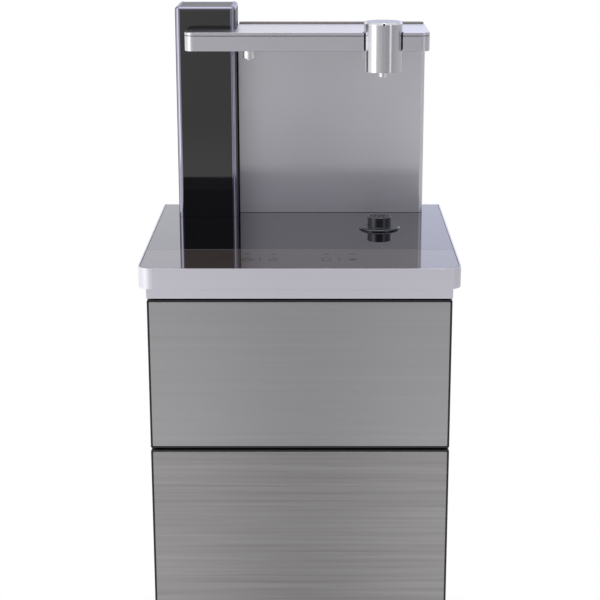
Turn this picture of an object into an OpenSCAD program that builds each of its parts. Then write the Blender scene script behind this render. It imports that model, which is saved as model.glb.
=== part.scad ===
// A free-standing water cooler that draws from a bottle behind its lower door.
// The origin is on the floor under the middle of the counter; the doors face -Y.

/* [Counter] */
// Width of the counter frame
counter_w = 410; // [380:1:480]
// Depth of the counter frame
counter_d = 388; // [376:1:440]
// Height of the counter's glass top above the floor
counter_z = 800; // [760:1:900]
// Height of the counter frame's outer wall
fascia_h = 27; // [22:1:36]
// Plan radius of the two front corners
front_r = 19; // [10:1:30]
// Plan radius of the two rear corners
rear_r = 4; // [3.5:0.5:8]
// Width of the metal rim around the glass
rim_w = 2; // [1.5:0.5:4]
// Thickness of the glass
glass_t = 6; // [4:0.5:8]
// Depth of the touch strip along the front edge
touch_d = 101; // [80:1:110]

/* [Doors] */
// Width of the cabinet
body_w = 390; // [370:1:402]
// How far the counter stands out past the door faces
front_overhang = 9; // [4:0.5:16]
// Height of the metal band under the counter
band_h = 14.5; // [10:0.5:24]
// Height of the upper door
upper_door_h = 200; // [180:1:240]
// Height of the lower door's lower edge above the floor
lower_door_z = 24.5; // [23:0.5:30]
// Thickness of a door
door_t = 20; // [18:0.5:24]
// Width of the black edge around a door's steel face
door_edge_w = 2.5; // [1.5:0.5:5]
// Gap over the upper door
top_gap = 1.9; // [1.7:0.1:3]
// Gap between the doors
mid_gap = 2.8; // [2:0.1:4]

/* [Column] */
// Left side of the black column
column_x = -176; // [-190:1:-160]
// Width of the black column
column_w = 84.5; // [70:0.5:90]
// Depth of the black column
column_d = 87.5; // [80:0.5:95]
// Height of the black column over the counter
column_h = 299; // [290:1:340]
// Radius of the column's upright edges
column_r = 7; // [4:0.5:12]

/* [Tower and arm] */
// Right side of the tower
tower_x = 175.5; // [170:0.5:185]
// Depth of the tower behind its steel front
tower_d = 57; // [50:0.5:62]
// Radius of the tower's right front edge
tower_r = 6; // [4:0.5:10]
// Height of the arm's underside over the counter
arm_h = 242.5; // [225:0.5:250]
// Thickness of the arm
arm_t = 25.5; // [22:0.5:32]
// Left end of the arm
arm_x = -159.5; // [-170:0.5:-150]
// Right end of the arm
arm_end_x = 177; // [171:0.5:190]
// How far the arm's front stands in front of the column
arm_reach = 48; // [40:0.5:60]
// Thickness of the arm's top plate
arm_cover_t = 4.4; // [3:0.2:6]
// Radius of the arm's plan corners
arm_r = 12; // [6:1:16]

/* [Taps] */
// Place of the main tap across the counter
tap_x = 113; // [90:1:125]
// Radius of the main tap's body
tap_r = 26.5; // [22:0.5:32]
// How far the main tap bulges out in front of the arm
tap_bulge = 17.5; // [10:0.5:24]
// Length of the main tap's body
tap_h = 67.5; // [50:0.5:80]
// How far the main tap stands over the arm
tap_rise = 14.5; // [8:0.5:20]
// Radius of the main tap's nozzle
nozzle_r = 6; // [4.5:0.5:8]
// Place of the side nozzle across the counter
side_x = -71; // [-78:1:-40]
// Radius of the side nozzle
side_r = 8.7; // [6:0.1:12]

/* [Kettle coupler] */
// Place of the kettle coupler across the counter
coupler_x = 109.2; // [90:0.1:125]
// Place of the kettle coupler behind the counter's middle
coupler_y = 36.5; // [15:0.5:45]
// Radius of the coupler's post
post_r = 17.2; // [15:0.05:18]
// Height of the coupler's post over the glass
post_h = 17; // [14:0.5:26]
// Radius of the coupler's flange
flange_r = 28.5; // [26:0.5:34]

/* [Base] */
// Height of the feet
foot_h = 20; // [19:0.5:24]
// Radius of a foot
foot_r = 20; // [16:0.5:24]
// Radius of the bottle that the lower compartment takes
bottle_r = 136; // [120:1:142]

/* [Hidden] */

$fn = 64;

// Clearances and the one overrun that cuts use
seat = 0.2;
cut = 1;
sheet_t = 1.5;
shell_t = 2.5;

// Counter
front_y = -counter_d / 2;
rear_y = counter_d / 2;
fascia_z = counter_z - fascia_h;
fascia_t = 3;
ledge_w = 8;
ledge_t = 3;
glass_gap = 0.6;
glass_z = counter_z - glass_t;
ledge_z = glass_z - ledge_t;
tray_wall = 3;
tray_lip = 6;

// Cabinet
body_x = body_w / 2;
door_face_y = front_y + front_overhang;
door_back_y = door_face_y + door_t;
door_clear = 2.5;
body_front_y = door_back_y + door_clear;
rear_overhang = 4;
body_rear_y = rear_y - rear_overhang;
inner_x = body_x - sheet_t - seat;
inner_front_y = body_front_y + sheet_t + seat;
inner_rear_y = body_rear_y - sheet_t - seat;
fold_y = inner_rear_y - sheet_t;
flange_w = 14;
side_panel_rise = 2;
side_panel_z = foot_h + side_panel_rise;

// Doors, from the counter down
band_z = fascia_z - band_h;
upper_top_z = band_z - top_gap;
upper_z = upper_top_z - upper_door_h;
lower_top_z = upper_z - mid_gap;
door_inset = 0.5;
door_x = body_x - door_inset;
door_corner_r = 2;
door_wall = 12;
door_inner_inset = 10;
door_inner_t = 2;
door_inner_r = 4;
face_t = 1.2;
face_r = 1.5;
pin_inset = 5;
pin_back = 6;
pin_x = -door_x + pin_inset;
pin_y = door_back_y - pin_back;
pin_r = 2;
pin_len = 10;
hinge_play = 0.05;
bush_r = 3.2;
bush_len = 12;
bracket_t = 1.2;
gasket_w = 5;
gasket_t = 2.2;
gasket_inset = 7.5;
gasket_r = 6;
grip_w = 8;
grip_d = 8;
grip_h = 90;
magnet_w = 5;
magnet_d = 12;
magnet_h = 40;
magnet_proud = 1.9;
lower_magnet_inset = 60;
upper_magnet_inset = 12;

// Inner floor and shelf
base_h = 24;
base_floor = 4;
base_wall = 3;
base_lip_t = 2.2;
base_lip_y = door_face_y + pin_inset;
platform_t = 3;
platform_ring_w = 5;
platform_ring_h = 9;
shelf_t = 12;
shelf_sheet = 2;
shelf_rise = 3.4;
shelf_top_z = upper_z + shelf_rise;
shelf_z = shelf_top_z - shelf_t;
foot_inset = 34;
screw_r = 2.4;
screw_head_r = 5;
screw_head_t = 3;
screw_play = 0.3;
foot_bore_h = 8;
foot_head_r = 7;

// Upper compartment
liner_t = 2.5;
liner_gap_h = 0.6;
liner_x = body_x - flange_w - seat;
liner_rear_gap = 160;
liner_back_y = body_rear_y - liner_rear_gap;

// Column, tower and arm
stand_z = counter_z + seat;
column_end_x = column_x + column_w;
column_inset = 1;
column_rear_y = rear_y - column_inset;
column_y = column_rear_y - column_d;
column_wall = 3;
cap_t = 3.5;
cap_plug = 6;
column_top_z = counter_z + column_h;
cap_z = column_top_z - cap_t;
tower_gap = 2;
tower_left_x = column_end_x + tower_gap;
tower_y = column_rear_y - tower_d;
tower_return = 14;
tower_seam = 0.3;
tower_back_y = tower_y + tower_return;
cover_rise = 2;
arm_z = counter_z + arm_h;
arm_top_z = arm_z + arm_t;
arm_seam = 0.3;
arm_cover_z = arm_top_z - arm_cover_t;
arm_y = column_y - arm_reach;
arm_back_gap = 13;
arm_back_y = column_rear_y - arm_back_gap;
arm_floor = 2.5;
arm_notch_gap = 0.5;
cover_z = arm_top_z + cover_rise;
window_x = 150;
window_d = 40;
bracket_half_w = 60;
bracket_leg = 50;
bracket_foot = 26;
bracket_plate_t = 2.5;

// Taps
tap_y = arm_y + tap_r - tap_bulge;
tap_gap = 1.4;
tap_top_z = arm_top_z + tap_rise;
tap_z = tap_top_z - tap_h;
tap_wall = 2.5;
tap_cap_t = 4;
tap_chamfer = 2.6;
tap_cap_plug = 5;
nozzle_drop = 8.5;
nozzle_neck_r = 4.8;
nozzle_spigot = 6;
indicator_r = 1.6;
indicator_t = 1.2;
side_back = 23;
side_y = arm_y + side_back;
side_h = 12;
side_tip_r = 5;
side_tip_h = 2;

// Water tubes
tube_r = 4;
tube_bore = 2.8;
tube_bend = 9;
tube_back = 24;
tube_y = tower_y + tube_back;
tube_hole_r = 6;
tube_turn = 190;
tube_turn_z = shelf_top_z + tube_turn;
arm_tube_rise = 13;
arm_tube_z = arm_z + arm_tube_rise;

// Kettle coupler
flange_t = 3.4;
flange_edge = 1.6;
neck_r = 21;
neck_bore = 9;
glass_hole_r = 22;
slot_depth = 5;
socket_r = 3.4;
inner_ring_r = 7;
outer_ring_r = 12;
ring_slot_w = 1.8;
contact_t = 0.9;
contact_drop = 1.2;
tab_w = 4;
tab_h = 6;
tab_drop = 2;

// Touch board
board_w = 230;
board_d = 64;
board_t = 1.6;
board_back = 58;
board_y = front_y + board_back;
key_pitch = 34;
pad_r = 6;
key_steps = [-2, -1, 1, 2];

// Pumps
pump_offset = 30;
pump_y = tube_y - pump_offset;
pump_r = 19;
pump_motor_h = 46;
pump_head_w = 46;
pump_head_h = 26;
pump_foot_w = 50;
pump_foot_t = 3;
port_h = 16;
cold_pump_gap = 50;

// Cold tank and its cooler
tank_side_gap = 23.3;
tank_w = 80;
tank_d = 60;
tank_h = 150;
tank_t = 1.5;
tank_r = 8;
foam_t = 10;
foam_thin = 4;
foam_gap = 0.5;
tank_x = tank_side_gap + foam_t + tank_w / 2 - inner_x;
cold_pump_x = tank_x + tank_w / 2 + foam_t + cold_pump_gap;
tank_z = shelf_top_z + foam_t + seat;
tank_y = liner_back_y + foam_t + 2 * foam_gap;
tank_rear_y = tank_y + tank_d;
peltier_w = 40;
cooler_z = tank_z + tank_h / 2 - foam_t;
sink_w = 90;
sink_base = 5;
fin_d = 26;
fin_t = 1.5;
fin_pitch = 7;
fin_steps = 6;
fan_w = 90;
fan_d = 25;
fan_bore_r = 42;
fan_blade_r = 40.5;
fan_hub_r = 17;
fan_hub_d = 18;
fan_pin_r = 1.5;
fan_pin_play = 0.05;
fan_blades = 7;
fan_blade_t = 1.6;
fan_blade_d = 15;
fan_strut_w = 5;
fan_strut_t = 3;
peltier_y = tank_rear_y + seat;
sink_y = peltier_y + foam_thin + seat;
fan_y = sink_y + sink_base + fin_d + seat;
fan_boss_r = 15;
fan_rear_y = fan_y + fan_d;
fan_rotor_gap = 0.5;
fan_rotor_y = fan_rear_y - fan_strut_t - 2 * fan_rotor_gap - fan_hub_d;

// Power board
power_w = 110;
power_h = 110;
power_rear_gap = 90;
power_y = body_rear_y - power_rear_gap;
power_rise = 130;
power_z = shelf_top_z + power_rise;
standoff_h = 10;
standoff_r = 3;
standoff_inset = 8;
power_board_x = inner_x - seat - standoff_h - board_t;
block_d = 24;

// Rear fittings
gland_side_gap = 43.3;
gland_x = inner_x - gland_side_gap;
gland_drop = 60;
gland_z = shelf_z - gland_drop;
gland_r = 8;
gland_bore = 4.2;
gland_flange_r = 11;
gland_flange_t = 2;
gland_len = 14;
switch_z = gland_z;
switch_step = 32;
switch_x = gland_x - 2 * switch_step;
switch_w = 15;
switch_h = 26;
switch_bezel = 1.8;
switch_depth = 20;
switch_wall = 1.4;
rocker_w = 10;
rocker_h = 17;
rocker_front = 4.5;
rocker_back = 5;
rocker_set = 3.8;
rocker_tilt = 8;
rocker_pin_r = 1;
rocker_pin_len = 1.1;
rocker_side_gap = 0.4;
rocker_window_h = 21.4;
vent_w = 66;
vent_h = 4;
vent_pitch = 11;
vent_steps = 4;
lower_vent_rise = 90;
lower_vent_z = side_panel_z + lower_vent_rise;
screw_inset = 9;
rear_screw_steps = [0, 1, 2];

// Bottle suction fitting
suction_x = 60;
suction_rear_gap = 90;
suction_y = body_rear_y - suction_rear_gap;
barb_r = 4;
barb_len = 16;
barb_bore = 2.5;
suction_flange_r = 11;
suction_flange_t = 3;
suction_top_r = 5;
suction_top_h = 14;

// A block between two corners
module slab(lo, hi) {
    translate(lo) cube(hi - lo);
}

// A rectangle with one radius on its two front corners and one on its two rear corners
module plan_rect(lo, hi, fr, rr) {
    mid_y = (lo.y + hi.y) / 2;
    translate([lo.x + fr, lo.y]) square([hi.x - lo.x - 2 * fr, mid_y - lo.y]);
    translate([lo.x + rr, mid_y]) square([hi.x - lo.x - 2 * rr, hi.y - mid_y]);
    translate([lo.x, lo.y + fr]) square([hi.x - lo.x, hi.y - lo.y - fr - rr]);
    for (x = [lo.x + fr, hi.x - fr])
        translate([x, lo.y + fr]) circle(r = fr);
    for (x = [lo.x + rr, hi.x - rr])
        translate([x, hi.y - rr]) circle(r = rr);
}

// A block whose upright edges are round
module plan_block(lo, hi, fr, rr) {
    translate([0, 0, lo.z])
        linear_extrude(hi.z - lo.z) plan_rect([lo.x, lo.y], [hi.x, hi.y], fr, rr);
}

// A block whose edges along Y are round
module front_block(lo, hi, r) {
    translate([0, hi.y, 0])
        rotate([90, 0, 0])
            linear_extrude(hi.y - lo.y) plan_rect([lo.x, lo.z], [hi.x, hi.z], r, r);
}

// A cylinder along Y that starts at a point and runs towards +Y
module along_y(at, r, len) {
    translate(at) rotate([-90, 0, 0]) cylinder(r = r, h = len);
}

// A slot with round ends, cut along Y
module y_slot(at, w, h, len) {
    slab([at.x - w / 2 + h / 2, at.y, at.z - h / 2], [at.x + w / 2 - h / 2, at.y + len, at.z + h / 2]);
    for (s = [-1, 1])
        along_y([at.x + s * (w - h) / 2, at.y, at.z], h / 2, len);
}

// The counter's outline, drawn in by inset
module counter_plan(inset) {
    corner = max(rear_r - inset, sheet_t);
    plan_rect([-counter_w / 2 + inset, front_y + inset], [counter_w / 2 - inset, rear_y - inset],
              front_r - inset, corner);
}

module counter_block(z0, z1, inset) {
    translate([0, 0, z0]) linear_extrude(z1 - z0) counter_plan(inset);
}

// A straight piece of rod from one point to another along an axis
module rod(from, to, r) {
    d = (to - from) / norm(to - from);
    a = [d.z, d.x, d.y];
    b = cross(d, a);
    multmatrix([[a.x, b.x, d.x, from.x], [a.y, b.y, d.y, from.y], [a.z, b.z, d.z, from.z]])
        cylinder(r = r, h = norm(to - from));
}

// A quarter bend of rod at a corner, from direction u into direction v
module bend(corner, u, v, r) {
    c = corner - u * tube_bend + v * tube_bend;
    w = cross(u, v);
    multmatrix([[-v.x, u.x, w.x, c.x], [-v.y, u.y, w.y, c.y], [-v.z, u.z, w.z, c.z]])
        rotate_extrude(angle = 90) translate([tube_bend, 0]) circle(r = r);
}

// A rod along a route of points joined by right angles, lengthened by extra at both ends
module route_rod(points, r, extra) {
    last = len(points) - 1;
    dirs = [for (i = [0 : last - 1]) (points[i + 1] - points[i]) / norm(points[i + 1] - points[i])];
    for (i = [0 : last - 1])
        rod(points[i] + dirs[i] * (i == 0 ? -extra : tube_bend),
            points[i + 1] - dirs[i] * (i == last - 1 ? -extra : tube_bend), r);
    for (i = [1 : last - 1])
        bend(points[i], dirs[i - 1], dirs[i], r);
}

// A water tube along a route
module tube(points) {
    difference() {
        route_rod(points, tube_r, 0);
        route_rod(points, tube_bore, cut);
    }
}

// The places of the four feet
module at_feet() {
    for (x = [-inner_x + foot_inset, inner_x - foot_inset])
        for (y = [inner_front_y + foot_inset, fold_y - foot_inset])
            translate([x, y, 0]) children();
}

module base_tray() color("dimgray") {
    difference() {
        union() {
            slab([-inner_x, inner_front_y, foot_h], [inner_x, fold_y, foot_h + base_h]);
            slab([-inner_x, base_lip_y, foot_h], [inner_x, inner_front_y + base_wall, foot_h + base_lip_t]);
        }
        slab([-inner_x + base_wall, inner_front_y + base_wall, foot_h + base_floor],
             [inner_x - base_wall, fold_y - base_wall, foot_h + base_h + cut]);
        at_feet()
            translate([0, 0, foot_h - cut]) cylinder(r = screw_r + screw_play, h = base_floor + 2 * cut);
    }
}

module bottle_platform() color("lightgray") {
    z = foot_h + base_h + seat;
    ring_y = (inner_front_y + fold_y) / 2;
    difference() {
        slab([-inner_x + base_wall, inner_front_y, z], [inner_x - base_wall, fold_y, z + platform_t]);
        translate([0, ring_y, z - cut])
            cylinder(r = bottle_r - 4 * platform_ring_w, h = platform_t + 2 * cut);
    }
    difference() {
        translate([0, ring_y, z]) cylinder(r = bottle_r + 2 * platform_ring_w, h = platform_ring_h);
        translate([0, ring_y, z - cut])
            cylinder(r = bottle_r + platform_ring_w, h = platform_ring_h + 2 * cut);
    }
}

module feet() color("#202022") {
    at_feet() difference() {
        cylinder(r = foot_r, h = foot_h);
        translate([0, 0, -cut]) cylinder(r = screw_r + screw_play, h = foot_h + 2 * cut);
        translate([0, 0, -cut]) cylinder(r = foot_head_r, h = foot_bore_h + cut);
    }
}

module foot_screws() color("silver") {
    at_feet() {
        translate([0, 0, foot_bore_h - screw_head_t - seat]) cylinder(r = screw_head_r, h = screw_head_t);
        translate([0, 0, foot_bore_h - screw_head_t])
            cylinder(r = screw_r, h = foot_h + base_floor + screw_head_t - foot_bore_h);
    }
}

// The undersides of the three hinge brackets
bracket_zs = [lower_door_z - seat - bracket_t - seat,
              (lower_top_z + upper_z - bracket_t) / 2,
              upper_top_z + 2 * seat];

// A side wall: a sheet with folded edges in front, behind and on top; side is -1 or 1
module side_panel(side) {
    x_out = side * body_x;
    x_in = side * (body_x - sheet_t);
    x_fold = side * (body_x - flange_w);
    lo_x = min(x_out, x_in);
    hi_x = max(x_out, x_in);
    fold_lo = min(x_out, x_fold);
    fold_hi = max(x_out, x_fold);
    top_z = fascia_z - seat;
    slab([lo_x, body_front_y, side_panel_z], [hi_x, inner_rear_y + seat, top_z]);
    slab([fold_lo, body_front_y, side_panel_z], [fold_hi, body_front_y + sheet_t, top_z]);
    slab([fold_lo, fold_y + seat, side_panel_z], [fold_hi, inner_rear_y + seat, top_z]);
    slab([fold_lo, body_front_y, top_z - sheet_t], [fold_hi, inner_rear_y + seat, top_z]);
}

module left_side_panel() color("#3a3b3f") {
    difference() {
        side_panel(-1);
        for (z = bracket_zs)
            slab([-body_x - cut, body_front_y - cut, z - seat],
                 [pin_x + pin_inset + seat, body_front_y + sheet_t + seat, z + bracket_t + seat]);
    }
}

module right_side_panel() color("#3a3b3f") {
    difference() {
        side_panel(1);
        at_magnets()
            slab([-seat, -cut, -seat], [magnet_w + seat, magnet_d, magnet_h + seat]);
    }
}

// The places of the four door magnets, two to a door
magnet_x = door_x - gasket_inset + 2 * seat;
magnet_zs = [lower_door_z + lower_magnet_inset, lower_top_z - lower_magnet_inset - magnet_h,
             upper_z + upper_magnet_inset, upper_top_z - upper_magnet_inset - magnet_h];

module at_magnets() {
    for (z = magnet_zs)
        translate([magnet_x, body_front_y - magnet_proud, z]) children();
}

module door_magnets() color("#2b2b2d") {
    at_magnets() slab([0, 0, 0], [magnet_w, magnet_d, magnet_h]);
}

// Rows of vent slots through the rear panel
module vents(x, z) {
    for (i = [-vent_steps : vent_steps])
        y_slot([x, body_rear_y - sheet_t - cut, z + i * vent_pitch], vent_w, vent_h, sheet_t + 2 * cut);
}

rear_lo_z = side_panel_z + seat;
rear_hi_z = fascia_z - seat;

// The places of the screws along both upright edges of the rear panel
module at_rear_screws() {
    step = (rear_hi_z - rear_lo_z - 2 * screw_inset) / (len(rear_screw_steps) - 1);
    for (x = [-body_x + screw_inset, body_x - screw_inset])
        for (i = rear_screw_steps)
            translate([x, 0, rear_lo_z + screw_inset + i * step]) children();
}

module rear_panel() color("#4a4b4f") {
    difference() {
        slab([-body_x + seat, body_rear_y - sheet_t, rear_lo_z], [body_x - seat, body_rear_y, rear_hi_z]);
        vents(tank_x, cooler_z);
        vents(tank_x, lower_vent_z);
        along_y([gland_x, body_rear_y - sheet_t - cut, gland_z], gland_r + seat, sheet_t + 2 * cut);
        for (i = [0, 1])
            slab([switch_x - i * switch_step - switch_w / 2 + sheet_t - seat, body_rear_y - sheet_t - cut,
                  switch_z - switch_h / 2 + sheet_t - seat],
                 [switch_x - i * switch_step + switch_w / 2 - sheet_t + seat, body_rear_y + cut,
                  switch_z + switch_h / 2 - sheet_t + seat]);
        at_rear_screws()
            along_y([0, body_rear_y - sheet_t - cut, 0], screw_r / 2 + seat, sheet_t + 2 * cut);
    }
}

module rear_screws() color("silver") {
    at_rear_screws() {
        along_y([0, body_rear_y, 0], screw_head_r / 2 + screw_r / 2, sheet_t);
        along_y([0, body_rear_y - sheet_t, 0], screw_r / 2, sheet_t + seat);
    }
}

module divider_shelf() color("gainsboro") {
    difference() {
        slab([-inner_x, inner_front_y, shelf_z], [inner_x, fold_y, shelf_top_z]);
        slab([-inner_x + shelf_sheet, inner_front_y + shelf_sheet, shelf_z - cut],
             [inner_x - shelf_sheet, fold_y - shelf_sheet, shelf_top_z - shelf_sheet]);
        translate([suction_x, suction_y, shelf_z]) cylinder(r = suction_top_r + seat, h = shelf_t + cut);
    }
}

module upper_liner() color("whitesmoke") {
    lo = [-liner_x, body_front_y, shelf_top_z + seat];
    hi = [liner_x, liner_back_y, upper_top_z - liner_gap_h];
    difference() {
        slab(lo, hi);
        slab([lo.x + liner_t, lo.y - cut, lo.z + liner_t],
             [hi.x - liner_t, hi.y - liner_t, hi.z - liner_t]);
    }
}

module counter_band() color("#b8b7bc") {
    lo = [-body_x, door_face_y, band_z];
    hi = [body_x, body_front_y - seat, fascia_z - seat];
    difference() {
        slab(lo, hi);
        slab([lo.x + sheet_t, lo.y + sheet_t, lo.z + sheet_t], [hi.x - sheet_t, hi.y + cut, hi.z + cut]);
    }
}

module counter_frame() color("#c3c2c8") {
    difference() {
        counter_block(fascia_z, counter_z, 0);
        counter_block(glass_z, counter_z + cut, rim_w);
        counter_block(ledge_z - cut, glass_z + cut, rim_w + ledge_w);
        counter_block(fascia_z - cut, ledge_z, fascia_t);
    }
}

// The footprints that the tubes and the coupler take through the counter
module counter_holes(z0, z1, coupler_hole_r) {
    for (x = [side_x, tap_x])
        translate([x, tube_y, z0]) cylinder(r = tube_hole_r, h = z1 - z0);
    translate([coupler_x, coupler_y, z0]) cylinder(r = coupler_hole_r, h = z1 - z0);
}

module counter_tray() color("#1d1d1f") {
    top_z = ledge_z - seat;
    difference() {
        counter_block(fascia_z, top_z, fascia_t + seat);
        counter_block(fascia_z - cut, top_z - tray_wall, fascia_t + seat + tray_lip);
        counter_holes(top_z - tray_wall - cut, top_z + cut, neck_bore + seat);
    }
}

module counter_glass() color("#0c0c0e") {
    difference() {
        counter_block(glass_z + seat / 2, counter_z, rim_w + glass_gap);
        slab([-counter_w, front_y - cut, glass_z - cut],
             [counter_w, front_y + rim_w + touch_d + seat, counter_z + cut]);
        counter_holes(glass_z - cut, counter_z + cut, glass_hole_r);
    }
}

module touch_glass() color("#5e5a58") {
    intersection() {
        counter_block(glass_z + seat / 2, counter_z, rim_w + glass_gap);
        slab([-counter_w, front_y - cut, glass_z - cut],
             [counter_w, front_y + rim_w + touch_d, counter_z + cut]);
    }
}

module touch_board() color("darkgreen") {
    lo_z = ledge_z;
    slab([-board_w / 2, board_y - board_d / 2, lo_z], [board_w / 2, board_y + board_d / 2, lo_z + board_t]);
    for (i = key_steps)
        translate([i * key_pitch, board_y, lo_z + board_t / 2])
            cylinder(r = pad_r, h = glass_z - lo_z - board_t / 2);
}

module coupler_flange() color("#161617") {
    translate([coupler_x, coupler_y, 0]) difference() {
        union() {
            translate([0, 0, counter_z]) cylinder(r = flange_r, h = flange_t - flange_edge);
            translate([0, 0, counter_z + flange_t - flange_edge])
                cylinder(r1 = flange_r, r2 = flange_r - flange_edge, h = flange_edge);
            translate([0, 0, ledge_z]) cylinder(r = neck_r, h = counter_z - ledge_z + flange_t / 2);
        }
        translate([0, 0, ledge_z - cut])
            cylinder(r = neck_bore, h = ledge_t + glass_t + flange_t + 2 * cut);
        translate([0, 0, counter_z + flange_t - flange_edge])
            cylinder(r = post_r + flange_edge, h = flange_t);
    }
}

module coupler_post() color("#161617") {
    base_z = counter_z + flange_t - flange_edge;
    top_z = counter_z + post_h;
    translate([coupler_x, coupler_y, 0]) difference() {
        union() {
            translate([0, 0, base_z]) cylinder(r = post_r, h = top_z - base_z);
            translate([0, 0, base_z]) cylinder(r = post_r + flange_edge - seat, h = flange_edge);
        }
        translate([0, 0, top_z - slot_depth]) cylinder(r = socket_r, h = slot_depth + cut);
        for (r = [inner_ring_r, outer_ring_r])
            translate([0, 0, top_z - slot_depth]) difference() {
                cylinder(r = r + ring_slot_w / 2, h = slot_depth + cut);
                translate([0, 0, -cut]) cylinder(r = r - ring_slot_w / 2, h = slot_depth + 3 * cut);
            }
        slab([post_r - contact_t - seat, -tab_w / 2 - seat, top_z - tab_drop - tab_h - seat],
             [post_r + cut, tab_w / 2 + seat, top_z - tab_drop + seat]);
    }
}

module coupler_contacts() color("#c07a45") {
    top_z = counter_z + post_h;
    translate([coupler_x, coupler_y, 0]) {
        translate([0, 0, top_z - slot_depth]) cylinder(r = socket_r / 2, h = slot_depth - contact_drop);
        for (r = [inner_ring_r, outer_ring_r])
            translate([0, 0, top_z - slot_depth]) difference() {
                cylinder(r = r + contact_t / 2, h = slot_depth - contact_drop);
                translate([0, 0, -cut]) cylinder(r = r - contact_t / 2, h = slot_depth + 2 * cut);
            }
        slab([post_r - contact_t - seat / 2, -tab_w / 2, top_z - tab_drop - tab_h],
             [post_r - seat, tab_w / 2, top_z - tab_drop]);
    }
}

module tower_panel() color("#9a979e") {
    lo = [tower_left_x, tower_y, stand_z];
    hi = [tower_x, tower_back_y, arm_z - seat];
    difference() {
        plan_block([lo.x - 2 * tower_r, lo.y, lo.z], [hi.x, hi.y + 2 * tower_r, hi.z], tower_r, tower_r);
        plan_block([lo.x - 3 * tower_r, lo.y + sheet_t, lo.z - cut],
                   [hi.x - sheet_t, hi.y + 3 * tower_r, hi.z + cut], tower_r - sheet_t, tower_r - sheet_t);
        slab([lo.x - 4 * tower_r, lo.y - cut, lo.z - cut], [lo.x, hi.y + 4 * tower_r, hi.z + cut]);
        slab([lo.x - 4 * tower_r, hi.y, lo.z - cut], [hi.x + cut, hi.y + 4 * tower_r, hi.z + cut]);
    }
}

// The rear shell: it closes the tower and rises behind the arm
module tower_rear_cover() color("#5a585a") {
    lo = [tower_left_x, tower_back_y + tower_seam, stand_z];
    hi = [tower_x, column_rear_y, cover_z];
    arm_slot_y = arm_back_y + tower_seam;
    difference() {
        plan_block(lo, hi, sheet_t, tower_r);
        plan_block([lo.x + shell_t, lo.y - 2 * shell_t, lo.z - cut],
                   [hi.x - shell_t, hi.y - shell_t, hi.z - shell_t], sheet_t, tower_r - shell_t);
        slab([lo.x - cut, lo.y - cut, arm_z - seat], [hi.x + cut, arm_slot_y, hi.z + cut]);
        for (i = [-vent_steps : vent_steps])
            y_slot([(lo.x + hi.x) / 2, hi.y - shell_t - cut, (arm_z + counter_z) / 2 + i * vent_pitch],
                   vent_w, vent_h, shell_t + 2 * cut);
    }
}

module column_shell() color("#131316") {
    lo = [column_x, column_y, stand_z];
    hi = [column_end_x, column_rear_y, cap_z - seat / 2];
    difference() {
        plan_block(lo, hi, column_r, column_r);
        plan_block([lo.x + column_wall, lo.y + column_wall, lo.z - cut],
                   [hi.x - column_wall, hi.y - column_wall, hi.z + cut],
                   column_r - column_wall, column_r - column_wall);
    }
}

module column_cap() color("#1b1b1f") {
    inset = column_wall + seat;
    plan_block([column_x, column_y, cap_z], [column_end_x, column_rear_y, column_top_z],
               column_r, column_r);
    plan_block([column_x + inset, column_y + inset, cap_z - cap_plug],
               [column_end_x - inset, column_rear_y - inset, cap_z + cap_t / 2],
               column_r - inset, column_r - inset);
}

// The arm's outline: a wide plate with a corner left out for the column and a bay for the tap
module arm_plan(inset) {
    difference() {
        plan_rect([arm_x + inset, arm_y + inset], [arm_end_x - inset, arm_back_y - inset],
                  arm_r - inset, column_wall);
        translate([arm_x - cut, column_y - arm_notch_gap - inset])
            square([column_end_x + arm_notch_gap + inset - arm_x + cut, counter_d]);
        translate([tap_x, tap_y]) circle(r = tap_r + tap_gap);
    }
}

module arm_housing() color("#a9a8ad") {
    difference() {
        translate([0, 0, arm_z]) linear_extrude(arm_cover_z - arm_seam - arm_z) arm_plan(0);
        translate([0, 0, arm_z + arm_floor]) linear_extrude(arm_t) arm_plan(arm_floor);
        slab([-window_x / 2, tower_y + sheet_t + seat / 2, arm_z - cut],
             [window_x, tower_y + window_d, arm_z + arm_floor + cut]);
        translate([side_x, side_y, arm_z - cut]) cylinder(r = side_tip_r + seat, h = arm_floor + 2 * cut);
        translate([side_x, tube_y, arm_z - cut]) cylinder(r = tube_hole_r, h = arm_floor + 2 * cut);
    }
}

module arm_cover() color("#cfced6") {
    translate([0, 0, arm_cover_z]) linear_extrude(arm_cover_t) arm_plan(0);
    translate([0, 0, arm_cover_z - arm_floor])
        linear_extrude(arm_floor + seat) difference() {
            arm_plan(arm_floor + seat);
            arm_plan(2 * arm_floor + seat);
        }
}

// The steel angle that carries the arm on the back of the tower panel
module arm_bracket() color("silver") {
    plate_z = arm_z + arm_floor + seat / 2;
    leg_y = tower_y + sheet_t + seat;
    slab([-bracket_half_w, leg_y, plate_z - bracket_leg],
         [bracket_half_w, leg_y + bracket_plate_t, plate_z + bracket_plate_t]);
    slab([-bracket_half_w, leg_y - bracket_foot, plate_z],
         [bracket_half_w, leg_y + bracket_plate_t, plate_z + bracket_plate_t]);
}

module tap_body() color("#8f8e92") {
    top_z = tap_top_z - tap_cap_t - seat / 2;
    difference() {
        translate([tap_x, tap_y, tap_z]) cylinder(r = tap_r, h = top_z - tap_z);
        translate([tap_x, tap_y, tap_z + tap_wall]) cylinder(r = tap_r - tap_wall, h = tap_h);
        translate([tap_x, tap_y, tap_z - cut]) cylinder(r = nozzle_neck_r, h = tap_h);
        along_y([tap_x, tap_y, arm_tube_z], tube_hole_r, 2 * tap_r);
    }
}

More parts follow.
